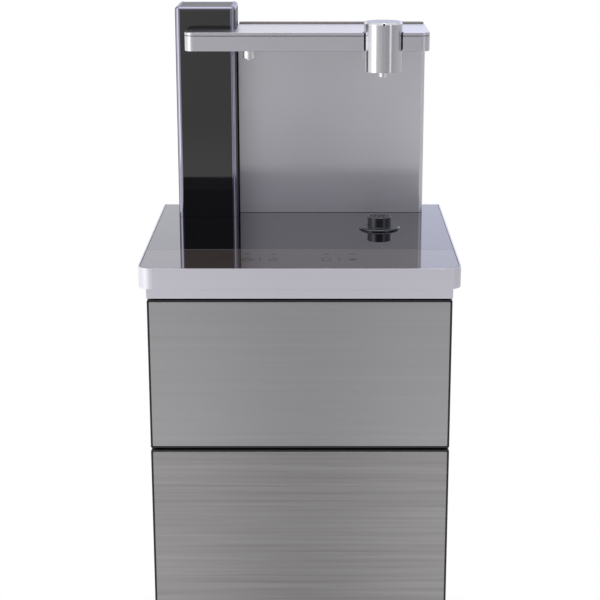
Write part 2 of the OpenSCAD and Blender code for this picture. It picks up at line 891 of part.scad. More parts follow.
module tap_cap() color("#c9c9ce") {
    z = tap_top_z - tap_cap_t;
    difference() {
        translate([tap_x, tap_y, 0]) {
            translate([0, 0, z]) cylinder(r = tap_r, h = tap_cap_t - tap_chamfer);
            translate([0, 0, tap_top_z - tap_chamfer])
                cylinder(r1 = tap_r, r2 = tap_r - tap_chamfer, h = tap_chamfer);
            translate([0, 0, z - tap_cap_plug])
                cylinder(r = tap_r - tap_wall - seat, h = tap_cap_plug + seat);
        }
        along_y([tap_x, tap_y - tap_r - cut, z + indicator_r + seat / 2], indicator_r + seat / 2,
                tap_chamfer + cut);
    }
}

module tap_indicator() color("black") {
    z = tap_top_z - tap_cap_t + indicator_r + seat / 2;
    along_y([tap_x, tap_y - tap_r + tap_chamfer / 2 - seat, z], indicator_r, indicator_t + seat);
}

module tap_nozzle() color("#d7d7da") {
    translate([tap_x, tap_y, tap_z - nozzle_drop]) difference() {
        union() {
            cylinder(r = nozzle_r, h = nozzle_drop - seat / 2);
            cylinder(r = nozzle_neck_r - seat / 2, h = nozzle_drop + tap_wall + nozzle_spigot);
        }
        translate([0, 0, -cut])
            cylinder(r = tube_bore, h = nozzle_drop + tap_wall + nozzle_spigot + 2 * cut);
    }
}

module side_nozzle() color("#d7d7da") {
    translate([side_x, side_y, 0]) difference() {
        union() {
            translate([0, 0, arm_z - side_h]) cylinder(r = side_r, h = side_h - seat / 2);
            translate([0, 0, arm_z - side_h - side_tip_h]) cylinder(r = side_tip_r, h = side_tip_h + seat);
            translate([0, 0, arm_z - side_h]) cylinder(r = side_tip_r, h = side_h + arm_floor + seat);
        }
        translate([0, 0, arm_z - side_h - side_tip_h - cut])
            cylinder(r = tube_bore, h = side_h + side_tip_h + arm_floor + 3 * cut);
    }
}

module tap_riser() color("ivory") {
    tube([[tap_x, pump_y, pump_top_z + seat], [tap_x, pump_y, tube_turn_z], [tap_x, tube_y, tube_turn_z],
          [tap_x, tube_y, arm_tube_z], [tap_x, tap_y, arm_tube_z],
          [tap_x, tap_y, tap_z + tap_wall + nozzle_spigot + seat]]);
}

module cold_riser() color("ivory") {
    tube([[cold_pump_x, pump_y, pump_top_z + seat], [cold_pump_x, pump_y, tube_turn_z],
          [side_x, pump_y, tube_turn_z], [side_x, tube_y, tube_turn_z],
          [side_x, tube_y, arm_tube_z], [side_x, side_y, arm_tube_z],
          [side_x, side_y, arm_z + arm_floor + 2 * seat]]);
}

pump_z = shelf_top_z + seat;
pump_head_z = pump_z + pump_foot_t + pump_motor_h;
pump_top_z = pump_head_z + pump_head_h + port_h;

// A small pump: foot, motor, valve head and the outlet port on top
module pump(x) {
    half = pump_head_w / 2;
    foot = pump_foot_w / 2;
    translate([x, pump_y, 0]) difference() {
        union() {
            slab([-foot, -foot, pump_z], [foot, foot, pump_z + pump_foot_t]);
            translate([0, 0, pump_z]) cylinder(r = pump_r, h = pump_foot_t + pump_motor_h + seat);
            slab([-half, -half, pump_head_z], [half, half, pump_head_z + pump_head_h]);
            translate([0, 0, pump_head_z]) cylinder(r = tube_r + sheet_t, h = pump_head_h + port_h);
        }
        translate([0, 0, pump_top_z - port_h]) cylinder(r = tube_bore, h = port_h + cut);
    }
}

module kettle_pump() color("#2c2c2f") pump(tap_x);

module cold_pump() color("#2c2c2f") pump(cold_pump_x);

module cold_tank() color("silver") {
    half = tank_w / 2;
    difference() {
        plan_block([tank_x - half, tank_y, tank_z], [tank_x + half, tank_rear_y, tank_z + tank_h],
                   tank_r, tank_r);
        plan_block([tank_x - half + tank_t, tank_y + tank_t, tank_z + tank_t],
                   [tank_x + half - tank_t, tank_rear_y - tank_t, tank_z + tank_h - tank_t],
                   tank_r - tank_t, tank_r - tank_t);
        translate([tank_x, tank_y + tank_d / 2, tank_z + tank_h / 2]) cylinder(r = tube_bore, h = tank_h);
    }
}

module tank_insulation() color("#e8e6df") {
    half = tank_w / 2 + seat;
    window = peltier_w / 2 + seat;
    difference() {
        slab([tank_x - half - foam_t, tank_y - foam_t, shelf_top_z],
             [tank_x + half + foam_t, tank_rear_y + foam_thin, tank_z + tank_h + foam_t]);
        slab([tank_x - half, tank_y - seat, tank_z - seat],
             [tank_x + half, tank_rear_y + seat, tank_z + tank_h + seat]);
        slab([tank_x - window, tank_y, cooler_z - window],
             [tank_x + window, tank_rear_y + foam_thin + cut, cooler_z + window]);
        translate([tank_x, tank_y + tank_d / 2, tank_z + tank_h]) cylinder(r = tube_r, h = foam_t + cut);
    }
}

module peltier_module() color("white") {
    half = peltier_w / 2;
    slab([tank_x - half, peltier_y, cooler_z - half],
         [tank_x + half, peltier_y + foam_thin, cooler_z + half]);
}

module heat_sink() color("#a3a4a8") {
    half = sink_w / 2;
    slab([tank_x - half, sink_y, cooler_z - half], [tank_x + half, sink_y + sink_base, cooler_z + half]);
    for (i = [-fin_steps : fin_steps])
        slab([tank_x + i * fin_pitch - fin_t / 2, sink_y, cooler_z - half],
             [tank_x + i * fin_pitch + fin_t / 2, sink_y + sink_base + fin_d, cooler_z + half]);
}

// A flat shape in the fan's plane, made thick towards the tank from a place behind it
module fan_layer(rear_y, thick) {
    translate([tank_x, rear_y, cooler_z]) rotate([90, 0, 0]) linear_extrude(thick) children();
}

module fan_housing() color("#1a1a1c") {
    half = fan_w / 2;
    fan_layer(fan_rear_y, fan_d) difference() {
        plan_rect([-half, -half], [half, half], tank_r / 2, tank_r / 2);
        circle(r = fan_bore_r);
    }
    fan_layer(fan_rear_y - fan_rotor_gap, fan_strut_t) {
        circle(r = fan_boss_r);
        for (a = [0 : 120 : 240])
            rotate(a) translate([-fan_strut_w / 2, fan_boss_r / 2])
                square([fan_strut_w, fan_bore_r + fan_strut_t / 3 - fan_boss_r / 2]);
    }
    along_y([tank_x, fan_rotor_y + fan_hub_d / 2, cooler_z], fan_pin_r,
            fan_rear_y - fan_strut_t / 2 - fan_rotor_y - fan_hub_d / 2);
}

module fan_rotor() color("#2a2a2d") {
    difference() {
        union() {
            along_y([tank_x, fan_rotor_y, cooler_z], fan_hub_r, fan_hub_d);
            intersection() {
                along_y([tank_x, fan_rotor_y, cooler_z], fan_blade_r, fan_hub_d);
                translate([tank_x, fan_rotor_y + fan_hub_d / 2, cooler_z])
                    for (i = [1 : fan_blades])
                        rotate([0, i * 360 / fan_blades, 0])
                            rotate([0, 0, 52])
                                slab([-fan_blade_d / 2, -fan_blade_t / 2, fan_hub_r - 2 * fan_blade_t],
                                     [fan_blade_d / 2, fan_blade_t / 2, fan_blade_r + cut]);
            }
        }
        along_y([tank_x, fan_rotor_y + fan_hub_d / 3, cooler_z], fan_pin_r + fan_pin_play, fan_hub_d);
    }
}

module power_board() color("darkgreen") {
    lo = [power_board_x, power_y - power_w / 2, power_z - power_h / 2];
    hi = [power_board_x + board_t, power_y + power_w / 2, power_z + power_h / 2];
    slab(lo, hi);
    for (y = [lo.y + standoff_inset, hi.y - standoff_inset])
        for (z = [lo.z + standoff_inset, hi.z - standoff_inset])
            translate([lo.x, y, z]) rotate([0, 90, 0]) cylinder(r = standoff_r, h = board_t + standoff_h);
    slab([lo.x - block_d, lo.y + 2 * standoff_inset, power_z],
         [lo.x + board_t / 2, power_y, hi.z - 2 * standoff_inset]);
    for (i = [0, 1])
        translate([lo.x - block_d, power_y + block_d * (i + 1) - standoff_inset, power_z - block_d])
            rotate([0, 90, 0]) cylinder(r = standoff_inset, h = block_d + board_t / 2);
}

module cord_gland() color("#1a1a1c") {
    difference() {
        union() {
            along_y([gland_x, body_rear_y, gland_z], gland_flange_r, gland_flange_t);
            along_y([gland_x, body_rear_y + gland_flange_t - gland_len, gland_z], gland_r, gland_len);
        }
        along_y([gland_x, body_rear_y - gland_len - cut, gland_z], gland_bore, 2 * gland_len);
    }
}

rocker_y = body_rear_y - rocker_set;

module switch_housings() color("#151517") {
    half_w = switch_w / 2;
    half_h = switch_h / 2;
    room_w = rocker_w / 2 + rocker_side_gap;
    for (i = [0, 1])
        translate([switch_x - i * switch_step, 0, switch_z]) difference() {
            union() {
                slab([-half_w, body_rear_y, -half_h], [half_w, body_rear_y + switch_bezel, half_h]);
                slab([-half_w + sheet_t, body_rear_y - switch_depth, -half_h + sheet_t],
                     [half_w - sheet_t, body_rear_y + switch_bezel / 2, half_h - sheet_t]);
            }
            slab([-room_w, body_rear_y - switch_depth + switch_wall, -rocker_window_h / 2],
                 [room_w, body_rear_y + switch_bezel + cut, rocker_window_h / 2]);
            translate([-rocker_w / 2 - rocker_pin_len, rocker_y, 0])
                rotate([0, 90, 0])
                    cylinder(r = rocker_pin_r + hinge_play, h = rocker_w + 2 * rocker_pin_len);
        }
}

// A rocker with a shallow V face, tipped to its off side, on two short pins
module rocker(x) {
    half_h = rocker_h / 2;
    translate([x, rocker_y, switch_z]) rotate([-rocker_tilt, 0, 0]) {
        translate([-rocker_w / 2, 0, 0]) rotate([90, 0, 90]) linear_extrude(rocker_w)
            polygon([[rocker_front, -half_h], [rocker_front - sheet_t, 0], [rocker_front, half_h],
                     [0, half_h], [-rocker_back, half_h / 2], [-rocker_back, -half_h / 2], [0, -half_h]]);
        translate([-rocker_w / 2 - rocker_pin_len + seat, 0, 0])
            rotate([0, 90, 0]) cylinder(r = rocker_pin_r, h = rocker_w + 2 * rocker_pin_len - 2 * seat);
    }
}

module hot_rocker() color("#b3261e") rocker(switch_x);

module cold_rocker() color("#1f6fb2") rocker(switch_x - switch_step);

module suction_fitting() color("ivory") {
    under_z = shelf_top_z - shelf_sheet - seat / 2;
    translate([suction_x, suction_y, 0]) difference() {
        union() {
            translate([0, 0, under_z - suction_flange_t])
                cylinder(r = suction_flange_r, h = suction_flange_t);
            translate([0, 0, under_z - suction_flange_t - barb_len])
                cylinder(r = barb_r, h = barb_len + suction_flange_t / 2);
            translate([0, 0, under_z - suction_flange_t / 2])
                cylinder(r = suction_top_r, h = suction_top_h);
        }
        translate([0, 0, under_z - suction_flange_t - barb_len - cut])
            cylinder(r = barb_bore, h = barb_len + suction_flange_t + suction_top_h + 2 * cut);
    }
}

// One hinge bracket: a plate from the side panel out to the pin; down and up say where its pin goes
module hinge_bracket(z, down, up) {
    slab([pin_x - pin_inset, pin_y, z], [pin_x + pin_inset, body_front_y + sheet_t, z + bracket_t]);
    translate([pin_x, pin_y, z]) cylinder(r = pin_inset, h = bracket_t);
    if (down)
        translate([pin_x, pin_y, z - pin_len - 2 * seat])
            cylinder(r = pin_r, h = pin_len + 2 * seat + bracket_t / 2);
    if (up)
        translate([pin_x, pin_y, z + bracket_t / 2])
            cylinder(r = pin_r, h = pin_len + 2 * seat + bracket_t / 2);
}

module hinge_brackets() color("silver") {
    hinge_bracket(bracket_zs[0], false, true);
    hinge_bracket(bracket_zs[1], true, true);
    hinge_bracket(bracket_zs[2], true, false);
}

// A door's black frame: a ring with a pocket for the face, a pocket for the inner panel,
// a bore for each hinge bush and a finger recess behind its free edge
module door_frame(z0, z1) {
    mid_z = (z0 + z1) / 2;
    inner_y = door_back_y - door_inner_t - seat / 2;
    difference() {
        front_block([-door_x, door_face_y, z0], [door_x, door_back_y, z1], door_corner_r);
        front_block([-door_x + door_edge_w, door_face_y - cut, z0 + door_edge_w],
                    [door_x - door_edge_w, door_face_y + face_t + seat / 2, z1 - door_edge_w], face_r);
        slab([-door_x + door_wall, door_face_y, z0 + door_wall],
             [door_x - door_wall, door_back_y, z1 - door_wall]);
        front_block([-door_x + door_inner_inset, inner_y, z0 + door_inner_inset],
                    [door_x - door_inner_inset, door_back_y + cut, z1 - door_inner_inset], door_inner_r);
        for (z = [z0 - cut, z1 - bush_len - seat])
            translate([pin_x, pin_y, z]) cylinder(r = bush_r, h = bush_len + seat + cut);
        front_block([door_x - grip_w, door_back_y - grip_d, mid_z - grip_h / 2],
                    [door_x + 2 * grip_w, door_back_y + 2 * grip_d, mid_z + grip_h / 2], grip_w / 2);
    }
}

module door_face(z0, z1) {
    edge = door_edge_w + seat / 2;
    front_block([-door_x + edge, door_face_y, z0 + edge], [door_x - edge, door_face_y + face_t, z1 - edge],
                face_r);
}

module door_inner(z0, z1) {
    edge = door_inner_inset + seat;
    front_block([-door_x + edge, door_back_y - door_inner_t, z0 + edge],
                [door_x - edge, door_back_y, z1 - edge], door_inner_r);
}

module door_bushes(z0, z1) {
    for (z = [z0, z1 - bush_len])
        translate([pin_x, pin_y, z]) difference() {
            cylinder(r = bush_r - seat / 4, h = bush_len);
            translate([0, 0, -cut]) cylinder(r = pin_r + hinge_play, h = bush_len + 2 * cut);
        }
}

module door_gasket(z0, z1) {
    out_x = door_x - gasket_inset;
    difference() {
        front_block([-out_x, door_back_y, z0 + gasket_inset],
                    [out_x, door_back_y + gasket_t, z1 - gasket_inset], gasket_r);
        front_block([-out_x + gasket_w, door_back_y - cut, z0 + gasket_inset + gasket_w],
                    [out_x - gasket_w, door_back_y + gasket_t + cut, z1 - gasket_inset - gasket_w],
                    gasket_r - gasket_w);
    }
}

module upper_door_frame() color("#111113") door_frame(upper_z, upper_top_z);

module upper_door_face() color("#8d8d8f") door_face(upper_z, upper_top_z);

module upper_door_inner() color("#d5d5d3") door_inner(upper_z, upper_top_z);

module upper_door_bushes() color("ivory") door_bushes(upper_z, upper_top_z);

module upper_door_gasket() color("#2c2c2c") door_gasket(upper_z, upper_top_z);

module lower_door_frame() color("#111113") door_frame(lower_door_z, lower_top_z);

module lower_door_face() color("#8d8d8f") door_face(lower_door_z, lower_top_z);

module lower_door_inner() color("#d5d5d3") door_inner(lower_door_z, lower_top_z);

module lower_door_bushes() color("ivory") door_bushes(lower_door_z, lower_top_z);

module lower_door_gasket() color("#2c2c2c") door_gasket(lower_door_z, lower_top_z);

base_tray();
bottle_platform();
feet();
foot_screws();
left_side_panel();
right_side_panel();
rear_panel();
rear_screws();
divider_shelf();
upper_liner();
counter_band();
counter_frame();
counter_tray();
counter_glass();
touch_glass();
touch_board();
coupler_flange();
coupler_post();
coupler_contacts();
tower_panel();
tower_rear_cover();
column_shell();
column_cap();
arm_housing();
arm_cover();
arm_bracket();
tap_body();
tap_cap();
tap_indicator();
tap_nozzle();
side_nozzle();
tap_riser();
cold_riser();
kettle_pump();
cold_pump();
cold_tank();
tank_insulation();
peltier_module();
heat_sink();
fan_housing();
fan_rotor();
power_board();
cord_gland();
switch_housings();
hot_rocker();
cold_rocker();
suction_fitting();
hinge_brackets();
door_magnets();
upper_door_frame();
upper_door_face();
upper_door_inner();
upper_door_bushes();
upper_door_gasket();
lower_door_frame();
lower_door_face();
lower_door_inner();
lower_door_bushes();
lower_door_gasket();
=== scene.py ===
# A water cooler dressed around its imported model: camera, light, materials, then pieces.
# Places are in metres, in the model's own frame: the doors face -Y and +Z is up.
import math

import bmesh
import bpy
from mathutils import Matrix, Vector


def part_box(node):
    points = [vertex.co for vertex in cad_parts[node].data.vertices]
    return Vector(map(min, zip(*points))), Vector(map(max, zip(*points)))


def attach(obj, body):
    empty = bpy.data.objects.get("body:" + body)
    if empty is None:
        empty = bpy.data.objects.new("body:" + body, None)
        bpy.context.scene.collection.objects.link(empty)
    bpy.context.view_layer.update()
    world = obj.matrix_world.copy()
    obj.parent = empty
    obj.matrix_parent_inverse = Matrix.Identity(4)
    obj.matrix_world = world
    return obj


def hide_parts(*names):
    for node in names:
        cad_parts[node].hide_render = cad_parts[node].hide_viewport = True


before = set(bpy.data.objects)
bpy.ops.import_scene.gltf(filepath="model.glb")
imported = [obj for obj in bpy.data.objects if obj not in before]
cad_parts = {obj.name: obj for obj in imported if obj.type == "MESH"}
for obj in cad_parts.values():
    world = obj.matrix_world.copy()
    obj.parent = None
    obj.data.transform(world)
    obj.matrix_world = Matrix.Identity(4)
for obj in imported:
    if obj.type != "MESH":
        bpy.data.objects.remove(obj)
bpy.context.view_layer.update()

MM = 0.001
NEAR = 0.01 * MM         # points closer than this are one point
scene = bpy.context.scene
scene.view_settings.view_transform = "Standard"


# Camera
# The photograph is 600 pixels wide; the camera stands in front of the doors and looks down a little.
PHOTO_W = 600
SENSOR = 36.0
FOCAL_PX = 1596.2
CENTRE_PX = 315.9
LOOK_DOWN = 15.5411
CAMERA_AT = (0.0207, -2.1387, 1.3002)

eye = bpy.data.cameras.new("camera")
eye.sensor_width = SENSOR
eye.lens = FOCAL_PX / PHOTO_W * SENSOR
eye.shift_x = (PHOTO_W / 2 - CENTRE_PX) / PHOTO_W
camera = bpy.data.objects.new("camera", eye)
camera.location = CAMERA_AT
camera.rotation_euler = (math.radians(90 - LOOK_DOWN), 0, 0)
scene.collection.objects.link(camera)
scene.camera = camera


# Node and colour helpers
def rgb(code):
    """An sRGB hex colour as the linear colour that shaders take."""
    channels = [int(code[i:i + 2], 16) / 255 for i in (1, 3, 5)]
    linear = [c / 12.92 if c <= 0.04045 else ((c + 0.055) / 1.055) ** 2.4 for c in channels]
    return (*linear, 1.0)


def add(tree, kind, links=None, **settings):
    """Adds a node, sets its own settings, and links or sets its inputs."""
    made = tree.nodes.new(kind)
    for key, value in settings.items():
        setattr(made, key, value)
    for socket, value in (links or {}).items():
        if isinstance(value, bpy.types.NodeSocket):
            tree.links.new(value, made.inputs[socket])
        else:
            made.inputs[socket].default_value = value
    return made


def new_material(name):
    made = bpy.data.materials.new(name)
    made.use_nodes = True
    made.node_tree.nodes.clear()
    return made, made.node_tree


def grain(tree, size_mm, detail=3.0, rough=0.55):
    """A noise whose features are size_mm = (x, y, z) long on the object itself."""
    place = add(tree, "ShaderNodeTexCoord").outputs["Object"]
    scaled = add(tree, "ShaderNodeMapping", {"Vector": place, "Scale": tuple(1 / (s * MM) for s in size_mm)})
    noise = add(tree, "ShaderNodeTexNoise", {"Vector": scaled.outputs["Vector"], "Scale": 1.0,
                                             "Detail": detail, "Roughness": rough})
    return noise.outputs["Fac"]


def span(tree, value, low, high, spread=0.5):
    """Maps a noise around 0.5 to the range low..high; spread is the noise's half range."""
    return add(tree, "ShaderNodeMapRange", {
        "Value": value, "From Min": 0.5 - spread, "From Max": 0.5 + spread,
        "To Min": low, "To Max": high}).outputs["Result"]


def blend_colour(tree, factor, dark, light):
    """Goes from the dark colour to the light one as the factor rises."""
    return add(tree, "ShaderNodeMix", {0: factor, 6: rgb(dark), 7: rgb(light)},
               data_type="RGBA").outputs[2]


COLOUR_SPREAD = 0.25     # half range of the noise that moves a colour
ROUGH_SPREAD = 0.3       # half range of the noise that moves a roughness


def surface(name, dark, light, rough, grain_mm, cloud_mm=(90, 90, 90), bump_mm=0.02, cloud_rough=0.03,
            metallic=0.0, sockets=None):
    """A finish with a fine grain and a slow cloud: both move its colour and roughness, the grain is also
    relief. rough is (smoothest, roughest); sockets are fixed values on the shader itself."""
    made, tree = new_material(name)
    fine = grain(tree, grain_mm)
    cloud = grain(tree, cloud_mm, detail=1.5)
    both = add(tree, "ShaderNodeMath", {0: fine, 1: cloud}, operation="ADD").outputs[0]
    half = add(tree, "ShaderNodeMath", {0: both, 1: 0.5}, operation="MULTIPLY").outputs[0]
    colour = blend_colour(tree, span(tree, half, 0, 1, COLOUR_SPREAD), dark, light)
    fine_rough = span(tree, fine, rough[0], rough[1], ROUGH_SPREAD)
    slow_rough = span(tree, cloud, -cloud_rough, cloud_rough, ROUGH_SPREAD)
    roughness = add(tree, "ShaderNodeMath", {0: fine_rough, 1: slow_rough}, operation="ADD", use_clamp=True)
    relief = add(tree, "ShaderNodeBump", {"Height": fine, "Distance": bump_mm * MM, "Strength": 1.0})
    values = {"Base Color": colour, "Metallic": metallic, "Roughness": roughness.outputs[0],
              "Normal": relief.outputs["Normal"]}
    values.update(sockets or {})
    shader = add(tree, "ShaderNodeBsdfPrincipled", values)
    add(tree, "ShaderNodeOutputMaterial", {"Surface": shader.outputs[0]})
    return made


SEAM_SHADOW = rgb("#6a696d")


def seam_line(material, z_mm, half_mm):
    """Darkens a finish to a fine line at one height, as the shadow in a closed joint does."""
    tree = material.node_tree
    shader = next(n for n in tree.nodes if n.bl_idname == "ShaderNodeBsdfPrincipled")
    clean = shader.inputs["Base Color"].links[0].from_socket
    place = add(tree, "ShaderNodeTexCoord").outputs["Object"]
    height = add(tree, "ShaderNodeSeparateXYZ", {0: place}).outputs["Z"]
    above = add(tree, "ShaderNodeMath", {0: height, 1: z_mm * MM}, operation="SUBTRACT").outputs[0]
    away = add(tree, "ShaderNodeMath", {0: above}, operation="ABSOLUTE").outputs[0]
    inside = add(tree, "ShaderNodeMapRange", {
        "Value": away, "From Min": half_mm * MM, "From Max": half_mm * MM / 2})
    line = add(tree, "ShaderNodeMix", {0: inside.outputs["Result"], 6: clean, 7: SEAM_SHADOW},
               data_type="RGBA")
    tree.links.new(line.outputs[2], shader.inputs["Base Color"])


# Materials
# Ferritic stainless sheet, belt-brushed across the door: fine level lines with a soft upright sheen.
# Real brush lines are about 0.2 mm apart; they are drawn 1.6 mm apart so that they show.
def door_steel(name, dark, light, contrast):
    made, tree = new_material(name)
    lines = grain(tree, (220, 40, 1.6), detail=5.0, rough=0.7)
    bands = grain(tree, (500, 60, 7), detail=2.0)
    mixed = add(tree, "ShaderNodeMix", {0: 0.4, 2: lines, 3: bands}, data_type="FLOAT").outputs[0]
    colour = blend_colour(tree, span(tree, mixed, 0, 1, contrast), dark, light)
    relief = add(tree, "ShaderNodeBump", {"Height": lines, "Distance": 0.02 * MM, "Strength": 0.6})
    shader = add(tree, "ShaderNodeBsdfPrincipled", {
        "Base Color": colour, "Metallic": 1.0, "Roughness": span(tree, lines, 0.27, 0.37, ROUGH_SPREAD),
        "Anisotropic": 0.6, "Anisotropic Rotation": 0.25, "Normal": relief.outputs["Normal"]})
    tangent = add(tree, "ShaderNodeTangent", direction_type="RADIAL", axis="Z")
    tree.links.new(tangent.outputs[0], shader.inputs["Tangent"])
    add(tree, "ShaderNodeOutputMaterial", {"Surface": shader.outputs[0]})
    return made


UPPER_DOOR_STEEL = door_steel("brushed_stainless_upper_door", "#a5a4a5", "#b4b4b6", 0.30)
# The lower door's copy of the same steel is painted darker than the upper one: painted shade.
LOWER_DOOR_STEEL_PAINTED_SHADE = door_steel("brushed_stainless_lower_door_painted_shade", "#918f8f", "#b0aeaf", 0.19)

# Satin stainless under a clear lacquer: a soft sheen with a faint clean mirror image over it.
TOWER_STEEL = surface("lacquered_stainless_tower", "#d5d4da", "#dbdae0", (0.50, 0.58), (220, 40, 1.8),
                      bump_mm=0.001, cloud_rough=0.01, metallic=1.0,
                      sockets={"Coat Weight": 1.0, "Coat Roughness": 0.11, "Coat IOR": 2.3})
# Bead-blasted, clear anodised aluminium: satin with a very fine even grain.
FRAME_ALUMINIUM = surface("anodised_aluminium_frame", "#d9d7e0", "#dddbe4", (0.30, 0.36), (0.8, 0.8, 0.8),
                          bump_mm=0.004, metallic=1.0)
ARM_ALUMINIUM = surface("anodised_aluminium_arm", "#d2d1d7", "#d5d4da", (0.27, 0.30), (60, 60, 0.9),
                        bump_mm=0.0004, metallic=1.0)
# The joint between the arm's cover and its housing is 0.3 mm; its shadow is drawn about 1 mm wide.
ARM_SEAM_Z = 1063.45
ARM_SEAM_HALF = 0.65
seam_line(ARM_ALUMINIUM, ARM_SEAM_Z, ARM_SEAM_HALF)
# Back-painted tempered glass with a mirror coat: near black, with strong clean reflections.
GLASS_GLOSS = {"IOR": 2.1, "Coat Weight": 0.45, "Coat Roughness": 0.02, "Specular Tint": rgb("#f0efff")}
BLACK_GLASS = surface("black_mirror_glass", "#050506", "#070709", (0.012, 0.02), (30, 30, 30), bump_mm=0.0,
                      cloud_rough=0.003, sockets=GLASS_GLOSS)
# Piano-black acrylic: deep black under a clear gloss.
PIANO_BLACK = surface("piano_black_acrylic", "#070609", "#0a090d", (0.03, 0.05), (4, 4, 30), bump_mm=0.0,
                      cloud_rough=0.01, sockets={"IOR": 1.75})
# A painted highlight: the same acrylic, a little lighter and far more mirror-like, put on the column's
# rounded edges so that they shine brighter than the plain acrylic would.
PAINTED_HIGHLIGHT_BLACK = surface("black_acrylic_painted_highlight", "#0a090d", "#0e0d12", (0.05, 0.09), (4, 4, 30), bump_mm=0.0,
                       cloud_rough=0.01, sockets={"IOR": 4.6, "Specular Tint": rgb("#e9e9ff")})
# Satin black moulding in the top of the column.
SATIN_BLACK = surface("satin_black_moulding", "#111014", "#17161b", (0.34, 0.44), (0.6, 0.6, 0.6),
                      bump_mm=0.004)
# Turned and brushed stainless: lines run round the tap.
TAP_STEEL = surface("turned_stainless_tap", "#cac9cd", "#d4d3d7", (0.18, 0.23), (60, 60, 0.7), bump_mm=0.004,
                    metallic=1.0, sockets={"Anisotropic": 0.5, "Anisotropic Rotation": 0.25})


# The tap's top: the same steel, brushed, inside a polished ring on the slope. The level top is painted
# darker, a painted shade; its brushing is real. The ring ends where the face turns level: between these two
# values of its normal's Z.
CROWN_SLOPE, CROWN_LEVEL = 0.90, 0.98


def crown_steel_painted_shade():
    made, tree = new_material("brushed_tap_crown_painted_shade")
    normal = add(tree, "ShaderNodeNewGeometry").outputs["Normal"]
    upright = add(tree, "ShaderNodeSeparateXYZ", {0: normal})
    flat = add(tree, "ShaderNodeMapRange", {
        "Value": upright.outputs["Z"], "From Min": CROWN_SLOPE, "From Max": CROWN_LEVEL})
    lines = grain(tree, (1.2, 60, 60), detail=3.0)
    smooth = span(tree, lines, 0.07, 0.11, ROUGH_SPREAD)
    brushed = span(tree, lines, 0.30, 0.38, ROUGH_SPREAD)
    roughness = add(tree, "ShaderNodeMix", {0: flat.outputs["Result"], 2: smooth, 3: brushed},
                    data_type="FLOAT").outputs[0]
    # Painted shade: the level top gets a darker colour than the polished ring.
    colour = blend_colour(tree, flat.outputs["Result"], "#e2e3e8", "#afafba")
    shader = add(tree, "ShaderNodeBsdfPrincipled", {"Base Color": colour, "Metallic": 1.0,
                                                    "Roughness": roughness})
    add(tree, "ShaderNodeOutputMaterial", {"Surface": shader.outputs[0]})
    return made


CROWN_STEEL_PAINTED_SHADE = crown_steel_painted_shade()
# Chrome plate: bright, cool and smooth, with slight smears.
CHROME = surface("chrome_plate", "#dedee2", "#e6e6ea", (0.05, 0.09), (6, 6, 6), bump_mm=0.0, metallic=1.0)
# Injection-moulded ABS with a fine spark-eroded grain.
BLACK_ABS = surface("moulded_black_abs", "#111113", "#17171a", (0.38, 0.48), (0.5, 0.5, 0.5), bump_mm=0.02)
GLOSS_BLACK_ABS = surface("polished_black_abs", "#171922", "#1e202a", (0.18, 0.25), (2, 2, 2), bump_mm=0.003,
                          sockets={"Coat Weight": 0.6, "Coat Roughness": 0.08})
# The tower's rear shell: a warmer, lighter grey than the base.
SHELL_ABS = surface("moulded_warm_grey_abs", "#857d7b", "#8f8785", (0.36, 0.46), (0.5, 0.5, 0.5),
                    bump_mm=0.02)
# The base tray: the same plastic in a plain grey.
GREY_ABS = surface("moulded_grey_abs", "#58565a", "#625f63", (0.36, 0.46), (0.5, 0.5, 0.5), bump_mm=0.02)
WHITE_ABS = surface("formed_white_abs", "#dcdbd6", "#e6e5e0", (0.28, 0.36), (3, 3, 3), bump_mm=0.01)
NYLON = surface("moulded_nylon", "#d9d5c4", "#e4e0d0", (0.35, 0.45), (1, 1, 1))
# Powder coat: a fine orange peel.
DARK_POWDER_COAT = surface("dark_powder_coat", "#3a3b3f", "#414247", (0.34, 0.42), (0.9, 0.9, 0.9),
                           bump_mm=0.03)
WHITE_POWDER_COAT = surface("white_powder_coat", "#d0d0cb", "#dadad5", (0.34, 0.42), (0.9, 0.9, 0.9),
                            bump_mm=0.03)
# Zinc-plated mild steel: grey with a crystalline patchiness.
ZINC_STEEL = surface("zinc_plated_steel", "#a9adb2", "#c2c5c9", (0.28, 0.42), (5, 5, 5),
                     cloud_mm=(25, 25, 25), bump_mm=0.01, metallic=1.0)
TANK_STEEL = surface("drawn_stainless_tank", "#a8a8a8", "#b8b8b8", (0.25, 0.35), (4, 4, 60), metallic=1.0)
SINK_ALUMINIUM = surface("extruded_aluminium", "#a7a9ad", "#b6b8bc", (0.32, 0.42), (2, 40, 2), metallic=1.0)
CONTACT_METAL = surface("copper_contact", "#a8653f", "#c07b50", (0.2, 0.3), (3, 3, 3), metallic=1.0)
RUBBER = surface("moulded_rubber", "#151515", "#1d1d1d", (0.6, 0.75), (0.8, 0.8, 0.8), bump_mm=0.04)
SILICONE = surface("food_grade_silicone", "#cfcec6", "#dddcd5", (0.3, 0.4), (6, 6, 6),
                   sockets={"Subsurface Weight": 0.15})
FOAM = surface("closed_cell_foam", "#d5d2c6", "#e2dfd4", (0.7, 0.85), (1.5, 1.5, 1.5), bump_mm=0.15)
CERAMIC = surface("fired_ceramic", "#e2e1dd", "#ecebe8", (0.35, 0.45), (2, 2, 2))
SOLDER_MASK = surface("green_solder_mask", "#0d3d1c", "#12522a", (0.2, 0.3), (4, 4, 1.5), bump_mm=0.03)
RED_PLASTIC = surface("red_switch_plastic", "#a31c16", "#b3261e", (0.2, 0.28), (1, 1, 1))
BLUE_PLASTIC = surface("blue_switch_plastic", "#1a5f9c", "#1f6fb2", (0.2, 0.28), (1, 1, 1))
# Dark screen ink, a little less glossy than the touch strip, so that it only just shows.
TOUCH_INK = surface("screen_printed_ink", "#0c0b0b", "#131111", (0.14, 0.2), (1, 1, 1), bump_mm=0.0)


